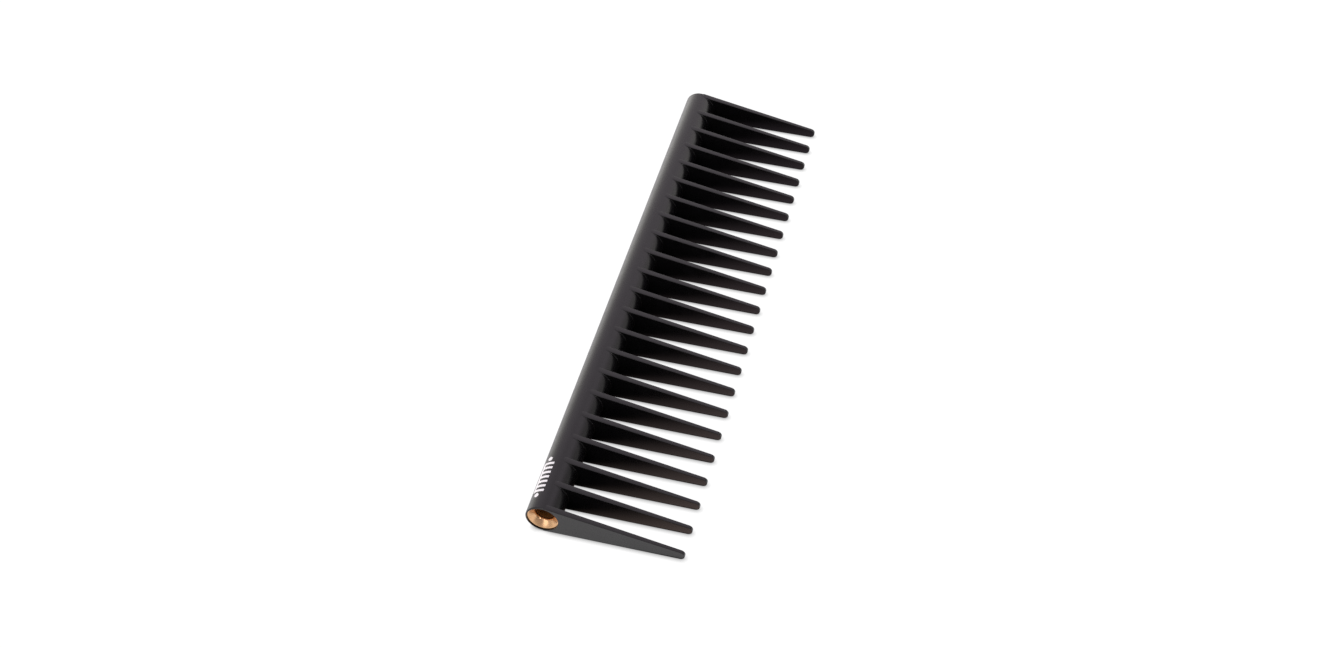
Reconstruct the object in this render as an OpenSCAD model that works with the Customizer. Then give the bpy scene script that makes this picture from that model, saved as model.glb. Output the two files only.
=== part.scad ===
// Wide-tooth comb: a round hollow spine, a row of flat tapered teeth along one side of it,
// and a flared metal cap pressed into each end of the spine.
// The comb lies flat on z = 0. X runs along the spine and the teeth point along -Y.
// All sizes are in millimetres.

/* [Teeth] */
// Number of teeth
tooth_count = 22; // [12:1:30]
// Distance between the middles of neighbouring teeth
tooth_pitch = 9; // [8:0.5:12]
// Distance from the spine's axis to the ends of the teeth
tooth_reach = 41.8; // [30:0.2:60]
// Thickness of a tooth where it meets the spine
root_t = 1.8; // [1.4:0.1:2.6]
// Thickness of a tooth at its end
tip_t = 1.1; // [0.6:0.1:1.4]
// Height of a tooth at its rounded end
tip_h = 3; // [2:0.1:4]

/* [Spine] */
// Outer diameter of the spine
spine_d = 10.3; // [10.1:0.1:14]
// Diameter of the hollow core of the spine
core_d = 7.2; // [6.8:0.1:8]
// Rounding of the spine's rim at each end
rim_r = 0.4; // [0.2:0.02:0.4]

/* [End caps] */
// Diameter of a cap's flange, and of the seat it sits in
flange_d = 9.4; // [8.6:0.1:9.4]
// Depth of the seat below the end of the spine
seat_depth = 2.4; // [2:0.1:3]
// How far a cap's lip lies below the end of the spine
lip_depth = 0.5; // [0.2:0.05:0.8]
// Width of the flat lip around a cap's flare
lip_w = 0.3; // [0.2:0.05:0.5]
// Depth below the end of the spine where the flare becomes the bore
throat_depth = 2.8; // [2.6:0.1:3.2]
// Rounding between the flare's cone and the bore
throat_round = 1.2; // [0.6:0.1:1.6]
// Diameter of the bore in a cap
bore_d = 5.5; // [4:0.1:5.8]
// Length of the straight bore in a cap
bore_l = 11; // [8:0.5:20]
// Thickness of the floor that closes a cap's bore
floor_t = 1; // [0.8:0.1:2]

/* [Hidden] */
function tooth_name(i) = str("tooth_", i < 10 ? "0" : "", i);

black = [0.06, 0.06, 0.065];
copper = [0.78, 0.52, 0.38];
round_fn = 96;
curve_steps = 12;

spine_r = spine_d / 2;
core_r = core_d / 2;
tip_r = tip_h / 2;
spine_l = (tooth_count - 1) * tooth_pitch + root_t;

// The spine's axis is placed so that the whole comb is centred on y = 0
spine_y = (tooth_reach - spine_r) / 2;

// Each tooth lies between two lines that touch both the spine and the tooth's round end:
// the floor below it, and a line above it that falls by twice the angle between the centres
tip_y = -(tooth_reach - tip_r);
fall = 2 * atan((spine_r - tip_r) / -tip_y);

// The root of a tooth wraps a little way around the spine, above and below. It stops where
// it is still this thick, because two surfaces that just touch would leave a feather edge.
horn_t = 0.15;
horn_y = sqrt(2 * spine_r * horn_t);

function arc(centre, radius, from, to) =
    [for (i = [0 : curve_steps])
        let (a = from + (to - from) * i / curve_steps)
        centre + radius * [cos(a), sin(a)]];

// Height of a tooth's upper line at distance y from the spine's axis
function upper_z(y) = spine_r + spine_r / cos(fall) + y * tan(fall);

module on_spine_axis()
    translate([0, spine_y, spine_r]) rotate([0, 90, 0]) children();

// Tooth seen along the spine: (y, z), with the spine's axis above y = 0
module tooth_side() {
    upper_y = -spine_r * sin(fall) - horn_y;
    polygon(concat(
        [[-horn_y, 0], [upper_y, upper_z(upper_y)]],
        arc([tip_y, tip_r], tip_r, 90 + fall, 270)));
}

// Tooth seen from above: (x, y), thinning evenly from its root to its end
module tooth_plan()
    polygon([
        [-root_t / 2, 0], [-root_t / 2, -spine_r], [-tip_t / 2, -tooth_reach],
        [tip_t / 2, -tooth_reach], [root_t / 2, -spine_r], [root_t / 2, 0]]);

module tooth(i) {
    x = (i - (tooth_count + 1) / 2) * tooth_pitch;
    color(black)
    difference() {
        translate([x, spine_y, 0])
        intersection() {
            rotate([90, 0, 90]) linear_extrude(2 * root_t, center = true) tooth_side();
            linear_extrude(spine_d) tooth_plan();
        }
        on_spine_axis() cylinder(h = 2 * spine_l, r = spine_r, center = true, $fn = round_fn);
    }
}

// Hollow tube with rounded rims, bored wider at each end for the caps
module spine_tube() {
    end = spine_l / 2;
    color(black)
    on_spine_axis() rotate_extrude($fn = round_fn)
    polygon(concat(
        [[core_r, seat_depth - end], [flange_d / 2, seat_depth - end], [flange_d / 2, -end]],
        arc([spine_r - rim_r, rim_r - end], rim_r, 270, 360),
        arc([spine_r - rim_r, end - rim_r], rim_r, 0, 90),
        [[flange_d / 2, end], [flange_d / 2, end - seat_depth], [core_r, end - seat_depth]]));
}

// Cap at the spine's upper end before it is turned: flange, flat lip, conical flare that
// rounds over into the bore, and the blind bore. The cone runs from the lip's inner edge
// to where it touches the round, so its half angle follows from the round's place.
module end_cap(side) {
    end = spine_l / 2;
    flare_r = flange_d / 2 - lip_w;
    round_centre = [bore_d / 2 + throat_round, end - throat_depth];
    to_centre = round_centre - [flare_r, end - lip_depth];
    flare_angle = asin(throat_round / norm(to_centre)) + atan(to_centre[0] / to_centre[1]);
    bore_end = end - throat_depth - bore_l;
    color(copper)
    on_spine_axis() mirror([0, 0, side < 0 ? 1 : 0]) rotate_extrude($fn = round_fn)
    polygon(concat(
        [[flange_d / 2, end - lip_depth], [flare_r, end - lip_depth]],
        arc(round_centre, throat_round, 180 - flare_angle, 180),
        [[bore_d / 2, bore_end], [0, bore_end], [0, bore_end - floor_t], [core_r, bore_end - floor_t],
         [core_r, end - seat_depth], [flange_d / 2, end - seat_depth]]));
}

module near_end_cap() end_cap(-1);

module far_end_cap() end_cap(1);

spine_tube();
near_end_cap();
far_end_cap();
for (i = [1 : tooth_count])
    tooth(i);
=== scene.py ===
"""Looks for the wide-tooth comb: its moulded spine and teeth, its copper caps, the print, and the studio."""
import math

import bmesh
import bpy
from mathutils import Matrix, Vector


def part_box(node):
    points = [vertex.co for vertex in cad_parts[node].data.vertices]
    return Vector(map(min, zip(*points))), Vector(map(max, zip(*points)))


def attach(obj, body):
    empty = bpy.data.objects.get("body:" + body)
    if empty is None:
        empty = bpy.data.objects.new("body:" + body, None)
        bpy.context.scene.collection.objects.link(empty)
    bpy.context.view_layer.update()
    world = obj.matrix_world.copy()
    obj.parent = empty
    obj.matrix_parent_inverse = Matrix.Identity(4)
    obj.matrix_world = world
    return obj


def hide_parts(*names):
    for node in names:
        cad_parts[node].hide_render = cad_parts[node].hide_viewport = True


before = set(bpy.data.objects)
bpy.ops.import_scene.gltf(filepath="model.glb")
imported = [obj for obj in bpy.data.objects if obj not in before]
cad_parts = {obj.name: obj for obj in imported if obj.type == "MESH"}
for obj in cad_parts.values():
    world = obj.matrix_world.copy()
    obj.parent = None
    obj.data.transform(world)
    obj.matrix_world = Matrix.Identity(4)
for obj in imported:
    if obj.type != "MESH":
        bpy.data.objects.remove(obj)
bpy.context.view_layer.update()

MM = 0.001

# ---- sizes taken from the frame ----

SPINE_LOW, SPINE_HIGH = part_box("spine_tube")
SPINE_R = (SPINE_HIGH.z - SPINE_LOW.z) / 2
AXIS_Y = (SPINE_HIGH.y + SPINE_LOW.y) / 2
AXIS_Z = (SPINE_HIGH.z + SPINE_LOW.z) / 2
SPINE_END = SPINE_HIGH.x

TOOTH_NODES = sorted(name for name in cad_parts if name.startswith("tooth_"))
FIRST_LOW, FIRST_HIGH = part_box(TOOTH_NODES[0])
LAST_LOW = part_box(TOOTH_NODES[-1])[0]
TOOTH_PITCH = (LAST_LOW.x - FIRST_LOW.x) / (len(TOOTH_NODES) - 1)
ROOT_T = FIRST_HIGH.x - FIRST_LOW.x
REACH = AXIS_Y - FIRST_LOW.y

# ---- sizes that the frame's boxes don't give, the same as in the CAD model ----

TIP_T = 1.1 * MM
TIP_R = 1.5 * MM
CORE_R = 3.6 * MM
RIM_R = 0.4 * MM
FLANGE_R = 4.7 * MM
SEAT_DEPTH = 2.4 * MM
LIP_DEPTH = 0.5 * MM
LIP_W = 0.3 * MM
THROAT_DEPTH = 2.8 * MM
THROAT_ROUND = 1.2 * MM
BORE_R = 2.75 * MM
BORE_L = 11.0 * MM
FLOOR_T = 1.0 * MM

# ---- finer shape that only the looks have ----

EDGE_R = 0.15 * MM      # rounding along a tooth's edges
FILLET_R = 0.25 * MM    # fillet between a tooth's sides and the spine
ROOT_SINK = 0.35 * MM   # how far a tooth's hidden end reaches into the spine's wall
LIP_SOFT = 0.08 * MM    # rounding of the corners of a cap's lip
TURNS = 128             # points round the spine and the caps
CRISP_DEGREES = 40      # an edge that turns by more than this stays crisp
MERGE_WITHIN = 0.0005 * MM

# ---- mesh helpers ----


def build(name, points, faces, material):
    """A smooth-shaded mesh object with crisp corners."""
    mesh = bpy.data.meshes.new(name)
    mesh.from_pydata([tuple(p) for p in points], [], faces)
    work = bmesh.new()
    work.from_mesh(mesh)
    bmesh.ops.remove_doubles(work, verts=work.verts, dist=MERGE_WITHIN)
    bmesh.ops.recalc_face_normals(work, faces=work.faces)
    for face in work.faces:
        face.smooth = True
    for edge in work.edges:
        edge.smooth = len(edge.link_faces) == 2 and edge.calc_face_angle() < math.radians(CRISP_DEGREES)
    work.to_mesh(mesh)
    work.free()
    mesh.materials.append(material)
    piece = bpy.data.objects.new(name, mesh)
    bpy.context.scene.collection.objects.link(piece)
    return piece


def between(start, end, share):
    """The point at a share of the way from start to end."""
    return (start[0] + (end[0] - start[0]) * share, start[1] + (end[1] - start[1]) * share)


def arc(centre, radius, start, end, steps):
    """Points on a circular arc, with the angles in degrees."""
    angles = [math.radians(start + (end - start) * i / steps) for i in range(steps + 1)]
    return [(centre[0] + radius * math.cos(a), centre[1] + radius * math.sin(a)) for a in angles]


def lathe(name, outline, material):
    """The closed outline, a list of (x, radius), turned round the spine's axis."""
    points = []
    for x, radius in outline:
        for i in range(TURNS):
            a = 2 * math.pi * i / TURNS
            points.append((x, AXIS_Y + radius * math.cos(a), AXIS_Z + radius * math.sin(a)))
    faces = []
    for k in range(len(outline)):
        here, there = k * TURNS, (k + 1) % len(outline) * TURNS
        for i in range(TURNS):
            j = (i + 1) % TURNS
            faces.append((here + i, here + j, there + j, there + i))
    return build(name, points, faces, material)


def smoothstep(low, high, value):
    """0 below low and 1 above high, with an even curve between them."""
    t = min(1, max(0, (value - low) / (high - low)))
    return t * t * (3 - 2 * t)


# ---- the spine and the caps ----

RIM_STEPS = 8
LIP_STEPS = 4
THROAT_STEPS = 16
BORE_STEPS = 4


def spine(material):
    """Hollow tube with rounded rims, wider inside at each end where a cap is seated."""
    half = [(SPINE_END - SEAT_DEPTH, CORE_R), (SPINE_END - SEAT_DEPTH, FLANGE_R), (SPINE_END, FLANGE_R)]
    half += arc((SPINE_END - RIM_R, SPINE_R - RIM_R), RIM_R, 0, 90, RIM_STEPS)
    outline = half + [(-x, r) for x, r in reversed(half)]
    return lathe("spine_moulding", outline, material)


def end_cap(name, side, material):
    """Flange, flat lip, conical flare that rounds over into a blind bore. side is -1 at the near end.

    The outline is worked out in (depth below the end of the spine, radius).
    """
    flare_r = FLANGE_R - LIP_W
    round_r = BORE_R + THROAT_ROUND
    run, drop = THROAT_DEPTH - LIP_DEPTH, flare_r - round_r
    flare_angle = math.asin(THROAT_ROUND / math.hypot(run, drop)) + math.atan(drop / run)
    outline = [(SEAT_DEPTH, FLANGE_R)]
    for i in range(LIP_STEPS + 1):
        a = math.radians(90 * i / LIP_STEPS)
        outline.append((LIP_DEPTH + LIP_SOFT * (1 - math.sin(a)), FLANGE_R - LIP_SOFT * (1 - math.cos(a))))
    outline.append((LIP_DEPTH, flare_r + LIP_SOFT))
    outline.append((LIP_DEPTH + LIP_SOFT, flare_r - LIP_SOFT * math.tan(flare_angle)))
    for i in range(THROAT_STEPS + 1):
        a = flare_angle * (1 - i / THROAT_STEPS)
        outline.append((THROAT_DEPTH - THROAT_ROUND * math.sin(a), round_r - THROAT_ROUND * math.cos(a)))
    outline += [(THROAT_DEPTH + BORE_L * i / BORE_STEPS, BORE_R) for i in range(1, BORE_STEPS + 1)]
    floor = THROAT_DEPTH + BORE_L
    outline += [(floor, 0), (floor + FLOOR_T, 0), (floor + FLOOR_T, CORE_R), (SEAT_DEPTH, CORE_R)]
    return lathe(name, [(side * (SPINE_END - depth), r) for depth, r in outline], material)


# ---- a tooth ----
# It is worked out in (s, z), where s is the distance from the spine's axis towards the tips.
# The outline is the floor line, the round end, and an upper line that falls to the tip. Both
# lines touch the spine and the round end. Row by row from root to tip, two flat sides are
# joined across the outline by rounded edges.

TIP_S = REACH - TIP_R
FALL = 2 * math.atan((SPINE_R - TIP_R) / TIP_S)   # slope of the upper line
TOP_DEGREES = 90 - math.degrees(FALL)
DOWN = (0, -1)
UP = (math.sin(FALL), math.cos(FALL))             # the upper line's outward direction
INNER_SPINE = SPINE_R - EDGE_R                    # a side stops an edge's radius inside the outline
INNER_TIP = TIP_R - EDGE_R
SIDE_STEPS = 16
EDGE_STEPS = 4
FILLET_STEPS = 5
LENGTH_STEPS = 12
TIP_STEPS = 8
FIRST_STRAIGHT = 0.27           # share of the way to the tip where the rows have become straight
BLEND_ROWS = (0.12, 0.3, 0.6)   # places between the last curved row and the first straight one
FILLET_FADE = (8, 30)           # degrees from the tooth's edges over which the fillet grows in


def half_thickness(s):
    """Half of the tooth's thickness, which thins evenly from the spine to the end."""
    return (ROOT_T + (TIP_T - ROOT_T) * (s - SPINE_R) / (REACH - SPINE_R)) / 2


def curved_row(rho):
    """Side points at distance rho from the spine's axis, from the lower edge to the upper edge."""
    lift = math.acos(min(1, INNER_SPINE / rho))
    low, high = -math.pi / 2 + lift, math.pi / 2 - FALL - lift
    angles = [low + (high - low) * i / SIDE_STEPS for i in range(SIDE_STEPS + 1)]
    return [(rho * math.cos(a), SPINE_R + rho * math.sin(a)) for a in angles]


def spread(low, high):
    """Side points from low to high, closer together near both edges."""
    shares = [(1 - math.cos(math.pi * i / SIDE_STEPS)) / 2 for i in range(SIDE_STEPS + 1)]
    return [between(low, high, share) for share in shares]


def straight_row(t):
    """Side points across the tooth at t, from 0 at the spine's axis to 1 where the round end starts."""
    top_start = (INNER_SPINE * UP[0], SPINE_R + INNER_SPINE * UP[1])
    top_end = (TIP_S + INNER_TIP * UP[0], TIP_R + INNER_TIP * UP[1])
    return spread((t * TIP_S, EDGE_R), between(top_start, top_end, t))


def tip_row(share):
    """Side points across the round end, with the outward directions of its lower and upper edge."""
    low_a = math.radians(-90 * (1 - share))
    high_a = math.radians(TOP_DEGREES * (1 - share))
    low_out = (math.cos(low_a), math.sin(low_a))
    high_out = (math.cos(high_a), math.sin(high_a))
    low = (TIP_S + INNER_TIP * low_out[0], TIP_R + INNER_TIP * low_out[1])
    high = (TIP_S + INNER_TIP * high_out[0], TIP_R + INNER_TIP * high_out[1])
    return spread(low, high), low_out, high_out


def tooth_rows():
    """(side points, lower outward direction, upper outward direction) for each row from root to tip."""
    sides = [curved_row(SPINE_R - ROOT_SINK), curved_row(INNER_SPINE)]
    for i in range(FILLET_STEPS + 1):
        a = math.radians(90 * i / FILLET_STEPS)
        sides.append(curved_row(SPINE_R + FILLET_R * (1 - math.cos(a))))
    last_curved, first_straight = sides[-1], straight_row(FIRST_STRAIGHT)
    for share in BLEND_ROWS:
        sides.append([between(p, q, share) for p, q in zip(last_curved, first_straight)])
    for i in range(LENGTH_STEPS + 1):
        sides.append(straight_row(FIRST_STRAIGHT + (1 - FIRST_STRAIGHT) * i / LENGTH_STEPS))
    rows = [(side, DOWN, UP) for side in sides]
    return rows + [tip_row(i / TIP_STEPS) for i in range(1, TIP_STEPS)]


def flare(s, z):
    """How far a fillet pushes a side point out, fading where the tooth's edges touch the spine."""
    rho = math.hypot(s, z - SPINE_R)
    if rho >= SPINE_R + FILLET_R:
        return 0
    depth = min(FILLET_R, SPINE_R + FILLET_R - rho)
    angle = math.degrees(math.atan2(z - SPINE_R, s))
    room = min(angle + 90, TOP_DEGREES - angle)
    rise = FILLET_R - math.sqrt(max(0, FILLET_R ** 2 - depth ** 2))
    return rise * smoothstep(*FILLET_FADE, room)


def mirrored(points):
    """The same points on the tooth's other side."""
    return [(-x, s, z) for x, s, z in points]


def across(edge, outward):
    """Points from one side to the other over the rounded edges, starting and ending at edge."""
    half = half_thickness(edge[0])
    points = []
    for i in range(EDGE_STEPS + 1):
        a = math.radians(90 - 90 * i / EDGE_STEPS)
        x = half - EDGE_R + EDGE_R * math.sin(a)
        out = EDGE_R * math.cos(a)
        points.append((x, edge[0] + outward[0] * out, edge[1] + outward[1] * out))
    return points + mirrored(reversed(points))


def ring(side, low_out, high_out):
    """One row's points all round the tooth: right side, over the top, left side, under the floor."""
    right = [(half_thickness(s) + flare(s, z), s, z) for s, z in side]
    top = across(side[-1], high_out)
    bottom = mirrored(across(side[0], low_out))
    return right + top[1:-1] + mirrored(reversed(right)) + bottom[1:-1]


def tooth_mesh_data():
    """Points (x from the tooth's middle, s, z) and faces of one tooth."""
    rings = [ring(*row) for row in tooth_rows()]
    count = len(rings[0])
    points = [point for one_ring in rings for point in one_ring]
    faces = []
    for k in range(len(rings) - 1):
        here, there = k * count, (k + 1) * count
        for i in range(count):
            j = (i + 1) % count
            faces.append((here + i, here + j, there + j, there + i))

    # Where each stretch of a ring starts
    top, left = SIDE_STEPS, SIDE_STEPS + 2 * EDGE_STEPS + 1
    bottom = left + SIDE_STEPS

    # The hidden end inside the spine's wall: strips between the sides, and the two edges
    for i in range(SIDE_STEPS):
        faces.append((i, i + 1, bottom - i - 1, bottom - i))
    faces.append(tuple(range(top, left + 1)))
    faces.append(tuple(k % count for k in range(bottom, count + 1)))

    # The outer end: one line of points across the tooth, joined to the last ring
    last, end = len(points) - count, len(points)
    end_line = across((REACH - EDGE_R, TIP_R), (1, 0))
    points += end_line
    end_steps = len(end_line) - 1
    for i in range(SIDE_STEPS):
        faces.append((last + i, last + i + 1, end))
    for i in range(end_steps):
        faces.append((last + top + i, last + top + i + 1, end + i + 1, end + i))
    for i in range(SIDE_STEPS):
        faces.append((last + left + i, last + left + i + 1, end + end_steps))
    for i in range(end_steps):
        next_point = last + (bottom + i + 1) % count
        faces.append((last + bottom + i, next_point, end + end_steps - 1 - i, end + end_steps - i))
    return points, faces


def tooth(node, data, material):
    """One tooth at its node's place. The end teeth's fillets are held level with the spine's ends."""
    low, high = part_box(node)
    middle = (low.x + high.x) / 2
    points = [(min(SPINE_END, max(-SPINE_END, middle + x)), AXIS_Y - s, z) for x, s, z in data[0]]
    return build(node + "_moulding", points, data[1], material)


# ---- the print ----
# A small picture of a comb between two dots stands in for the maker's print. Its places are
# (x, v): x is measured from the start of the print, and v round the spine from the print's
# middle line.

PRINT_NEAR = 4.2 * MM       # from the near end of the spine to the start of the print
PRINT_ANGLE = 37            # degrees from straight up, towards +Y
INK_T = 0.03 * MM           # how far the film stands above the spine, and how deep it is set in
DOT_R = 0.75 * MM
BAR_START = 2.1 * MM
BAR_TOP = -2.0 * MM
BAR_LOW = -1.1 * MM
MARK_TIPS = 1.9 * MM
MARK_TOOTH_W = 0.8 * MM
MARK_PITCH = 1.7 * MM
MARK_TEETH = 7
BLOCK_STEPS = 12
DOT_STEPS = 16
DOT_DEGREES = 85            # a dot's rows stop a little short of its ends


def ink(name, rows, material):
    """A thin film wrapped on the spine. Each row across it is (v, x_low, x_high).

    A row gives four points, two just below the spine's surface and two just above it.
    """
    points = []
    for v, x_low, x_high in rows:
        a = math.radians(90 - PRINT_ANGLE) + v / SPINE_R
        for radius in (SPINE_R - INK_T, SPINE_R + INK_T):
            y, z = AXIS_Y + radius * math.cos(a), AXIS_Z + radius * math.sin(a)
            points += [(PRINT_NEAR + x - SPINE_END, y, z) for x in (x_low, x_high)]
    last = len(points) - 4
    faces = [(0, 1, 3, 2)]
    for k in range(0, last, 4):
        for i, j in ((0, 1), (1, 3), (3, 2), (2, 0)):
            faces.append((k + i, k + j, k + 4 + j, k + 4 + i))
    faces.append((last, last + 1, last + 3, last + 2))
    return build(name, points, faces, material)


def block_rows(x_low, x_high, v_low, v_high):
    """Rows of a rectangle."""
    return [(v_low + (v_high - v_low) * i / BLOCK_STEPS, x_low, x_high) for i in range(BLOCK_STEPS + 1)]


def dot_rows(x, radius):
    """Rows of a round dot on the print's middle line."""
    angles = [math.radians(DOT_DEGREES * (2 * i / DOT_STEPS - 1)) for i in range(DOT_STEPS + 1)]
    return [(radius * math.sin(a), x - radius * math.cos(a), x + radius * math.cos(a)) for a in angles]


def printed_mark(material):
    """A bar with teeth, and a dot at each end of it."""
    bar_end = BAR_START + (MARK_TEETH - 1) * MARK_PITCH + MARK_TOOTH_W
    films = [ink("print_bar", block_rows(BAR_START, bar_end, BAR_TOP, BAR_LOW), material)]
    for i in range(MARK_TEETH):
        x = BAR_START + i * MARK_PITCH
        rows = block_rows(x, x + MARK_TOOTH_W, BAR_LOW, MARK_TIPS)
        films.append(ink(f"print_tooth_{i + 1}", rows, material))
    far_dot = bar_end + BAR_START - DOT_R
    for name, x in (("print_dot_near", DOT_R), ("print_dot_far", far_dot)):
        films.append(ink(name, dot_rows(x, DOT_R), material))
    return films


# ---- node helpers ----
# A value or a colour given to one of these is either plain numbers or another node's output.

NOISE_LOW, NOISE_HIGH = 0.3, 0.7    # nearly all of a noise texture's values lie between these


def fill(links, socket, value):
    """Links a node's output to a socket, or sets the socket to plain numbers."""
    if isinstance(value, bpy.types.NodeSocket):
        links.new(value, socket)
    else:
        socket.default_value = value


def calculate(nodes, links, operation, *values):
    """A Math node."""
    node = nodes.new("ShaderNodeMath")
    node.operation = operation
    for socket, value in zip(node.inputs, values):
        fill(links, socket, value)
    return node.outputs["Value"]


def fade(nodes, links, value, low, high, at_low, at_high):
    """A value that goes from at_low to at_high as the linked value goes from low to high."""
    node = nodes.new("ShaderNodeMapRange")
    for name, number in (("From Min", low), ("From Max", high), ("To Min", at_low), ("To Max", at_high)):
        node.inputs[name].default_value = number
    links.new(value, node.inputs["Value"])
    return node.outputs["Result"]


def blend(nodes, links, share, first, second):
    """The first colour where the linked share is 0, and the second where it is 1."""
    node = nodes.new("ShaderNodeMix")
    node.data_type = "RGBA"
    fill(links, node.inputs["A"], first)
    fill(links, node.inputs["B"], second)
    links.new(share, node.inputs["Factor"])
    return node.outputs["Result"]


def noise_range(nodes, links, vector, scale, detail, low=0, high=1):
    """A noise texture mapped to a range from low to high."""
    noise = nodes.new("ShaderNodeTexNoise")
    noise.inputs["Scale"].default_value = scale
    noise.inputs["Detail"].default_value = detail
    links.new(vector, noise.inputs["Vector"])
    return fade(nodes, links, noise.outputs["Fac"], NOISE_LOW, NOISE_HIGH, low, high)


def relief(nodes, links, shader, height, strength, distance):
    """Small bumps from a linked height."""
    bump = nodes.new("ShaderNodeBump")
    bump.inputs["Strength"].default_value = strength
    bump.inputs["Distance"].default_value = distance
    links.new(height, bump.inputs["Height"])
    links.new(bump.outputs["Normal"], shader.inputs["Normal"])


def split_axes(nodes, links, vector):
    """The linked vector's X, Y and Z."""
    split = nodes.new("ShaderNodeSeparateXYZ")
    links.new(vector, split.inputs["Vector"])
    return split.outputs


# ---- materials ----

BLACK_DARK = (0.003, 0.0028, 0.0032, 1)
BLACK_LIGHT = (0.005, 0.0047, 0.0052, 1)
COPPER_DARK = (0.66, 0.40, 0.21, 1)
COPPER_LIGHT = (0.76, 0.47, 0.26, 1)
# The colour inside a cap's bore is painted shade: darker copper that stands in for the shade deep in the
# bore.
COPPER_PAINTED_BORE_SHADE = (0.30, 0.14, 0.04, 1)
WHITE_DARK = (0.92, 0.92, 0.92, 1)
WHITE_LIGHT = (0.97, 0.97, 0.97, 1)
DULL_AND_SHADE_FROM = 0.3 * MM          # the copper starts to dull, and to darken with painted shade, this far outside the bore
DULL_AND_SHADE_BY = 0.5 * MM            # and is fully dull and fully darkened by painted shade this far inside it
DULL_ROUGHNESS = 0.8


def new_material(name):
    """A material with its nodes, its links and its main shader."""
    material = bpy.data.materials.new(name)
    material.use_nodes = True
    nodes = material.node_tree.nodes
    return material, nodes, material.node_tree.links, nodes["Principled BSDF"]


def object_place(nodes):
    """Where a point is in the frame, in metres."""
    return nodes.new("ShaderNodeTexCoord").outputs["Object"]


def black_plastic():
    """Satin black with a faint grain, as a moulded surface has."""
    material, nodes, links, shader = new_material("black_plastic")
    place = object_place(nodes)
    shade = noise_range(nodes, links, place, scale=180, detail=3)
    links.new(blend(nodes, links, shade, BLACK_DARK, BLACK_LIGHT), shader.inputs["Base Color"])
    roughness = noise_range(nodes, links, place, scale=320, detail=4, low=0.25, high=0.33)
    links.new(roughness, shader.inputs["Roughness"])
    grain = noise_range(nodes, links, place, scale=5000, detail=2)
    relief(nodes, links, shader, grain, strength=0.06, distance=0.02 * MM)
    return material


def turned_copper():
    """Satin copper with fine grooves round the axis, as turning leaves them, and a rougher drilled bore
    whose darker colour is painted shade.
    """
    material, nodes, links, shader = new_material("turned_copper")
    shader.inputs["Metallic"].default_value = 1
    place = object_place(nodes)
    from_axis = nodes.new("ShaderNodeVectorMath")
    from_axis.operation = "SUBTRACT"
    from_axis.inputs[1].default_value = (0, AXIS_Y, AXIS_Z)
    links.new(place, from_axis.inputs[0])
    axes = split_axes(nodes, links, from_axis.outputs["Vector"])

    from_middle = calculate(nodes, links, "ABSOLUTE", axes["X"])
    bore_start = SPINE_END - THROAT_DEPTH
    # Inside the bore the copper gets rougher, and its colour darkens with painted shade.
    dull_and_shade = fade(nodes, links, from_middle, bore_start - DULL_AND_SHADE_BY, bore_start + DULL_AND_SHADE_FROM, 1, 0)

    shade = noise_range(nodes, links, place, scale=500, detail=3)
    bright = blend(nodes, links, shade, COPPER_DARK, COPPER_LIGHT)
    links.new(blend(nodes, links, dull_and_shade, bright, COPPER_PAINTED_BORE_SHADE), shader.inputs["Base Color"])
    turned = noise_range(nodes, links, place, scale=700, detail=3, low=0.22, high=0.3)
    rough = calculate(nodes, links, "MULTIPLY", dull_and_shade, DULL_ROUGHNESS)
    links.new(calculate(nodes, links, "MAXIMUM", turned, rough), shader.inputs["Roughness"])

    off_axis = nodes.new("ShaderNodeCombineXYZ")
    links.new(axes["Y"], off_axis.inputs["Y"])
    links.new(axes["Z"], off_axis.inputs["Z"])
    radius = nodes.new("ShaderNodeVectorMath")
    radius.operation = "LENGTH"
    links.new(off_axis.outputs["Vector"], radius.inputs[0])
    groove_place = nodes.new("ShaderNodeCombineXYZ")
    links.new(radius.outputs["Value"], groove_place.inputs["X"])
    links.new(axes["X"], groove_place.inputs["Y"])
    grooves = noise_range(nodes, links, groove_place.outputs["Vector"], scale=6000, detail=2)
    relief(nodes, links, shader, grooves, strength=0.25, distance=0.01 * MM)
    return material


def white_ink():
    """Matt white with a faint mottle."""
    material, nodes, links, shader = new_material("white_ink")
    mottle = noise_range(nodes, links, object_place(nodes), scale=2500, detail=2)
    links.new(blend(nodes, links, mottle, WHITE_DARK, WHITE_LIGHT), shader.inputs["Base Color"])
    shader.inputs["Roughness"].default_value = 0.5
    return material


# ---- the studio ----

# The sky by height: (height from 0 at the horizon to 1 overhead, brightness, colour)
SKY = (
    (0.0, 1.9, (1, 0.98, 0.95)),
    (0.2, 1.5, (1, 0.96, 0.94)),
    (0.45, 1.08, (1, 0.92, 0.97)),
    (0.66, 1.06, (1, 0.9, 1)),
    (0.74, 1.12, (1, 0.9, 1)),
    (0.82, 1.02, (1, 0.9, 1)),
    (1.0, 0.6, (1, 0.9, 1)),
)
# The sky is dimmer on two sides: (where it is dimmest, where it is whole again, the dimmest share)
DIM_CAMERA_SIDE = (-0.6, 0.5, 0.4)    # by the direction's X
DIM_TIP_SIDE = (-0.8, -0.45, 0.3)     # by the direction's Y

# Lamps: (name, direction from the comb, size, brightness)
LAMP_DISTANCE = 3.0
LAMPS = (
    ("lamp_front", (-0.70, 0.36, 0.60), 1.8, 1.4),
    ("lamp_top", (-0.45, 0.1, 0.89), 1.2, 1.5),
    ("lamp_right", (-0.4, -0.62, 0.67), 0.6, 7),
)

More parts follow.
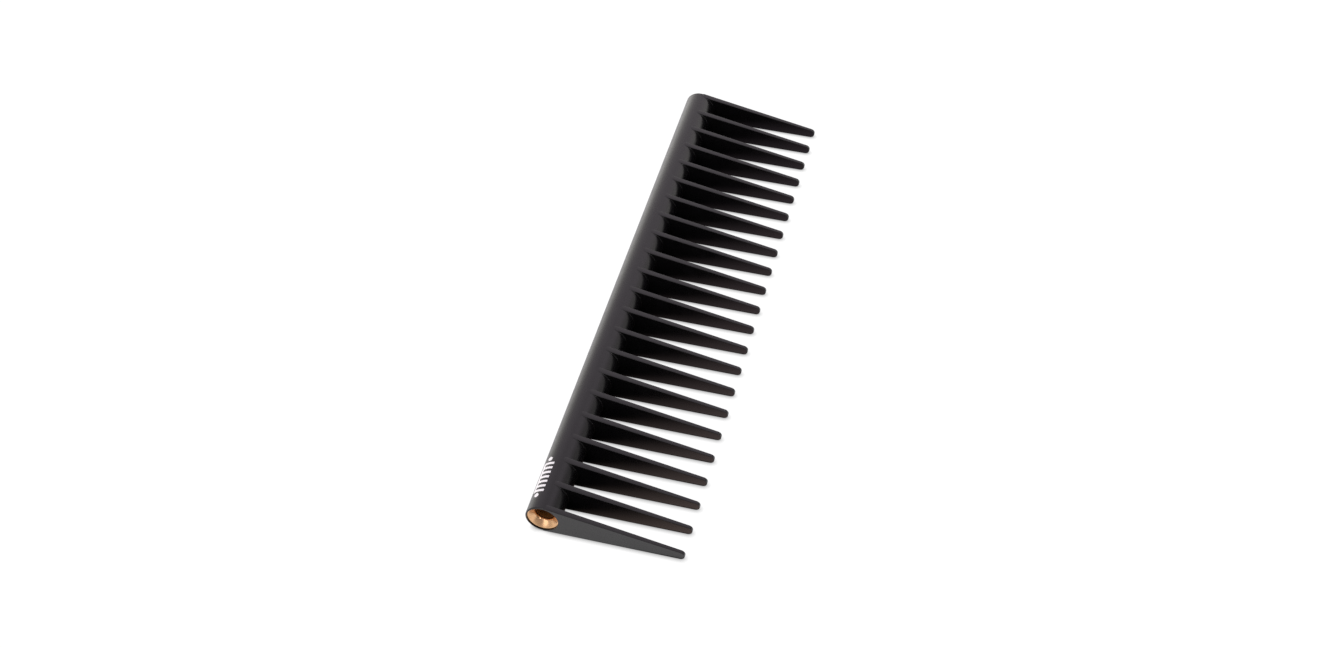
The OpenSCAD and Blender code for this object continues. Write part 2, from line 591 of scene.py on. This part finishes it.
# The white table is three sheets, one under the other, just below the comb
SEEN_Z = -0.02 * MM
GAP_Z = -0.04 * MM
BOUNCE_Z = -0.06 * MM
SEEN_HALF = 6.0               # half the seen sheet's width
SEEN_GREY = (0.06, 0.06, 0.06, 1)
BOUNCE_HALF = 1.0
BOUNCE_BEHIND = 20 * MM       # how far the bounce sheet goes on behind the spine's axis
BOUNCE_GREY = (0.5, 0.5, 0.5, 1)
BOUNCE_GLOW = 0.7
CONTACT_REACH = 1.6 * MM      # how far from the comb the table is darkened by it

# The light from the table in a gap: it grows from the spine to the tips, and is strongest beside
# the near side of each tooth
GLOW_TO_TIPS = 25             # per metre from the spine's axis
GLOW_AT_AXIS = -0.055
GLOW_FROM_TOOTH = -120        # per metre from the near side of a tooth
GLOW_FAR_SHARE = 0.45         # what is left of it at the far end of the comb
GLOW_NEAR_COLOUR = (1, 0.76, 0.68, 1)
GLOW_FAR_COLOUR = (1, 0.78, 0.92, 1)


def camera():
    """The photograph's viewpoint: where the camera stands round the comb, how it is turned, and its lens."""
    azimuth, elevation, roll = (math.radians(a) for a in (-76.12, 46.73, 0.77))
    distance, aside, above = 562.7 * MM, 12.06 * MM, -7.89 * MM
    back = Vector((math.sin(azimuth) * math.cos(elevation),
                   -math.cos(azimuth) * math.cos(elevation),
                   math.sin(elevation)))
    level_right = Vector((0, 0, 1)).cross(back).normalized()
    level_up = back.cross(level_right)
    right = math.cos(roll) * level_right + math.sin(roll) * level_up
    up = math.cos(roll) * level_up - math.sin(roll) * level_right
    place = Vector((0, AXIS_Y, 0)) + right * aside + up * above + back * distance
    data = bpy.data.cameras.new("camera")
    data.lens = 46.9
    data.sensor_width = 36
    data.clip_start = 0.01
    view = bpy.data.objects.new("camera", data)
    view.matrix_world = Matrix.Translation(place) @ Matrix((right, up, back)).transposed().to_4x4()
    bpy.context.scene.collection.objects.link(view)
    bpy.context.scene.camera = view


def softbox(name, direction, size, brightness):
    """A square lamp that faces the comb. brightness is what its face shows, with the white table at 1."""
    data = bpy.data.lights.new(name, "AREA")
    data.size = size
    data.energy = brightness * math.pi * size ** 2
    lamp = bpy.data.objects.new(name, data)
    lamp.location = Vector(direction).normalized() * LAMP_DISTANCE
    lamp.visible_camera = False
    lamp.rotation_mode = "QUATERNION"
    lamp.rotation_quaternion = Vector(direction).to_track_quat("Z", "Y")
    bpy.context.scene.collection.objects.link(lamp)


def sky():
    """A studio dome: bright at the horizon, dimmer overhead, behind the camera and beyond the tips."""
    world = bpy.data.worlds.new("studio")
    bpy.context.scene.world = world
    world.use_nodes = True
    nodes, links = world.node_tree.nodes, world.node_tree.links
    background = nodes["Background"]
    direction = split_axes(nodes, links, nodes.new("ShaderNodeTexCoord").outputs["Generated"])
    by_height = nodes.new("ShaderNodeValToRGB")
    stops = by_height.color_ramp.elements
    while len(stops) < len(SKY):
        stops.new(0.5)
    for stop, (height, level, colour) in zip(stops, SKY):
        stop.position = height
        stop.color = (level * colour[0], level * colour[1], level * colour[2], 1)
    links.new(direction["Z"], by_height.inputs["Fac"])
    links.new(by_height.outputs["Color"], background.inputs["Color"])
    by_x = fade(nodes, links, direction["X"], *DIM_CAMERA_SIDE, 1)
    by_y = fade(nodes, links, direction["Y"], *DIM_TIP_SIDE, 1)
    links.new(calculate(nodes, links, "MULTIPLY", by_x, by_y), background.inputs["Strength"])


def stage_plane(name, height, low, high):
    """A flat sheet under the comb, and its material's nodes. It isn't part of the comb."""
    material, nodes, links, shader = new_material(name)
    shader.inputs["Roughness"].default_value = 1
    shader.inputs["Specular IOR Level"].default_value = 0
    shader.inputs["Emission Color"].default_value = (1, 1, 1, 1)
    corners = [(low[0], low[1]), (high[0], low[1]), (high[0], high[1]), (low[0], high[1])]
    plane = build(name, [(x, y, height) for x, y in corners], [(0, 1, 2, 3)], material)
    return plane, nodes, links, shader


def seen_floor():
    """The white table as the camera sees it, a little darker where the comb touches it.

    Nothing else sees this sheet: it isn't reflected, and it lights and shades nothing.
    """
    plane, nodes, links, shader = stage_plane(
        "floor", SEEN_Z, (-SEEN_HALF, -SEEN_HALF), (SEEN_HALF, SEEN_HALF))
    plane.visible_glossy = False
    plane.visible_diffuse = False
    plane.visible_shadow = False
    shader.inputs["Base Color"].default_value = SEEN_GREY
    contact = nodes.new("ShaderNodeAmbientOcclusion")
    contact.inputs["Distance"].default_value = CONTACT_REACH
    links.new(contact.outputs["AO"], shader.inputs["Emission Strength"])


def bounce_floor():
    """The white table as the comb sees it."""
    plane, nodes, links, shader = stage_plane(
        "floor_bounce", BOUNCE_Z, (-BOUNCE_HALF, -BOUNCE_HALF), (BOUNCE_HALF, AXIS_Y + BOUNCE_BEHIND))
    plane.visible_camera = False
    shader.inputs["Base Color"].default_value = BOUNCE_GREY
    shader.inputs["Emission Strength"].default_value = BOUNCE_GLOW


def gap_floor():
    """The shaded table between the teeth, as the teeth see it."""
    plane, nodes, links, shader = stage_plane(
        "floor_in_gaps", GAP_Z, (-SPINE_END, FIRST_LOW.y), (SPINE_END, AXIS_Y))
    plane.visible_camera = False
    shader.inputs["Base Color"].default_value = (0, 0, 0, 1)
    place = split_axes(nodes, links, object_place(nodes))
    from_axis = calculate(nodes, links, "SUBTRACT", AXIS_Y, place["Y"])
    to_first_tooth = calculate(nodes, links, "SUBTRACT", FIRST_LOW.x, place["X"])
    to_next_tooth = calculate(nodes, links, "WRAP", to_first_tooth, 0, TOOTH_PITCH)
    along = calculate(nodes, links, "MULTIPLY_ADD", from_axis, GLOW_TO_TIPS, GLOW_AT_AXIS)
    glow = calculate(nodes, links, "MULTIPLY_ADD", to_next_tooth, GLOW_FROM_TOOTH, along)
    lit = calculate(nodes, links, "MAXIMUM", glow, 0)
    share = fade(nodes, links, place["X"], -SPINE_END, SPINE_END, 1, GLOW_FAR_SHARE)
    links.new(calculate(nodes, links, "MULTIPLY", lit, share), shader.inputs["Emission Strength"])
    to_far_end = fade(nodes, links, place["X"], -SPINE_END, SPINE_END, 0, 1)
    colour = blend(nodes, links, to_far_end, GLOW_NEAR_COLOUR, GLOW_FAR_COLOUR)
    links.new(colour, shader.inputs["Emission Color"])


def studio():
    """The sky, the table's three sheets (seen, lighting the comb, and shading its gaps), and the lamps."""
    bpy.context.scene.view_settings.view_transform = "Standard"
    sky()
    seen_floor()
    bounce_floor()
    gap_floor()
    for lamp in LAMPS:
        softbox(*lamp)


# ---- putting it together ----


def finish_piece(piece, node=None):
    """Puts a piece on the comb's one body, and hides the CAD node it replaces, if there is one."""
    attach(piece, "root")
    if node:
        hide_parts(node)


camera()
studio()
plastic, copper, paint = black_plastic(), turned_copper(), white_ink()
finish_piece(spine(plastic), "spine_tube")
finish_piece(end_cap("near_cap_turned", -1, copper), "near_end_cap")
finish_piece(end_cap("far_cap_turned", 1, copper), "far_end_cap")
one_tooth = tooth_mesh_data()
for node_name in TOOTH_NODES:
    finish_piece(tooth(node_name, one_tooth, plastic), node_name)
for film in printed_mark(paint):
    finish_piece(film)
